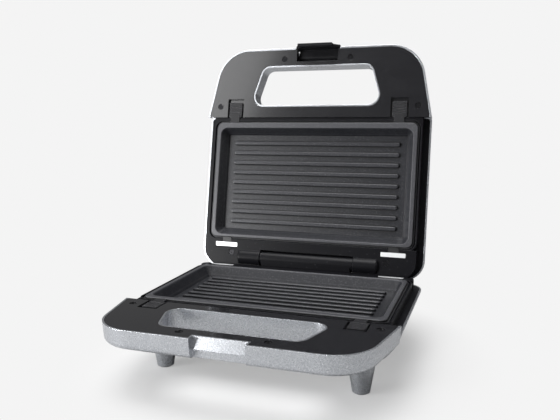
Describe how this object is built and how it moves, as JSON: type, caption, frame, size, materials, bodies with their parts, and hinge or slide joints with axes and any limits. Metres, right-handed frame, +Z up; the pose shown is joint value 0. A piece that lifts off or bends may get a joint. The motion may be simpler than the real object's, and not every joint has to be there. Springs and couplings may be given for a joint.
{
  "type": "panini press",
  "caption": "Open clamshell sandwich press with ribbed plates, loop handles, a snap latch, sliding plate releases and moulded feet",
  "frame": {"origin": "centre of the bounding box in X and Y, at the table surface under the foot pads", "axes": "+X to the right seen from the front, +Y towards the hinge at the back, +Z up"},
  "size_m": [0.2448, 0.292, 0.2957],
  "materials": {
    "shell": "silver metallic paint with fine flake over moulded plastic",
    "bezel": "polished black moulding",
    "frame": "satin black heat-resistant moulding",
    "plate": "die-cast plate with dark grey non-stick coating",
    "reflector_sheet": "bright rolled sheet",
    "heater_tube": "heat-dulled steel sheath",
    "saddle_sheet": "pressed zinc-plated sheet",
    "thermostat_body": "snap-disc case",
    "fuse_case": "fuse can",
    "clip_steel": "bright pressed steel",
    "screw_steel": "blackened steel",
    "lever": "satin black ribbed moulding",
    "pin_steel": "ground steel rod",
    "pad_rubber": "soft grey-black rubber",
    "gland": "black flexible bush",
    "terminal_plastic": "heat-resistant terminal block",
    "power_lens_plastic": "translucent red lens",
    "ready_lens_plastic": "translucent green lens",
    "lamp_glass": "neon lamp",
    "latch_plastic": "satin black moulding"
  },
  "bodies": {
    "base": {"base_shell": "shell", "base_front_bezel": "bezel", "base_frame": "frame", "base_grill_plate": "plate", "base_reflector": "reflector_sheet", "base_heating_element": "heater_tube", "base_element_saddles": "saddle_sheet", "base_thermostat": "thermostat_body", "base_thermal_fuse": "fuse_case", "base_plate_clips": "clip_steel", "base_bezel_screws": "screw_steel", "base_frame_screws": "screw_steel", "hinge_pin": "pin_steel", "foot_pad_front_left": "pad_rubber", "foot_pad_front_right": "pad_rubber", "foot_pad_rear_left": "pad_rubber", "foot_pad_rear_right": "pad_rubber", "cord_gland": "gland", "terminal_block": "terminal_plastic"},
    "lid": {"lid_shell": "shell", "lid_front_bezel": "bezel", "lid_frame": "frame", "lid_grill_plate": "plate", "lid_reflector": "reflector_sheet", "lid_heating_element": "heater_tube", "lid_element_saddles": "saddle_sheet", "lid_thermostat": "thermostat_body", "lid_thermal_fuse": "fuse_case", "lid_plate_clips": "clip_steel", "lid_bezel_screws": "screw_steel", "lid_frame_screws": "screw_steel", "power_lens": "power_lens_plastic", "ready_lens": "ready_lens_plastic", "indicator_lamps": "lamp_glass", "latch_pin": "pin_steel"},
    "latch": {"latch": "latch_plastic"},
    "base_release_lever_left": {"base_release_lever_left": "lever"},
    "base_release_lever_right": {"base_release_lever_right": "lever"},
    "lid_release_lever_left": {"lid_release_lever_left": "lever"},
    "lid_release_lever_right": {"lid_release_lever_right": "lever"}
  },
  "joints": [
    {"name": "lid_hinge", "type": "hinge", "parent": "base", "child": "lid", "pos_m": [0, 0.08154, 0.0688], "axis": [1, 0, 0], "range_deg": [0, 101.9]},
    {"name": "latch_pivot", "type": "hinge", "parent": "lid", "child": "latch", "pos_m": [0, 0.1309, 0.28221], "axis": [1, 0, 0], "range_deg": [-28, 4]},
    {"name": "base_lever_left_slide", "type": "slide", "parent": "base", "child": "base_release_lever_left", "axis": [0, -1, 0], "range_m": [0, 0.0036]},
    {"name": "base_lever_right_slide", "type": "slide", "parent": "base", "child": "base_release_lever_right", "axis": [0, -1, 0], "range_m": [0, 0.0036]},
    {"name": "lid_lever_left_slide", "type": "slide", "parent": "lid", "child": "lid_release_lever_left", "axis": [0, 0.2062, 0.9785], "range_m": [0, 0.0036]},
    {"name": "lid_lever_right_slide", "type": "slide", "parent": "lid", "child": "lid_release_lever_right", "axis": [0, 0.2062, 0.9785], "range_m": [0, 0.0036]}
  ]
}
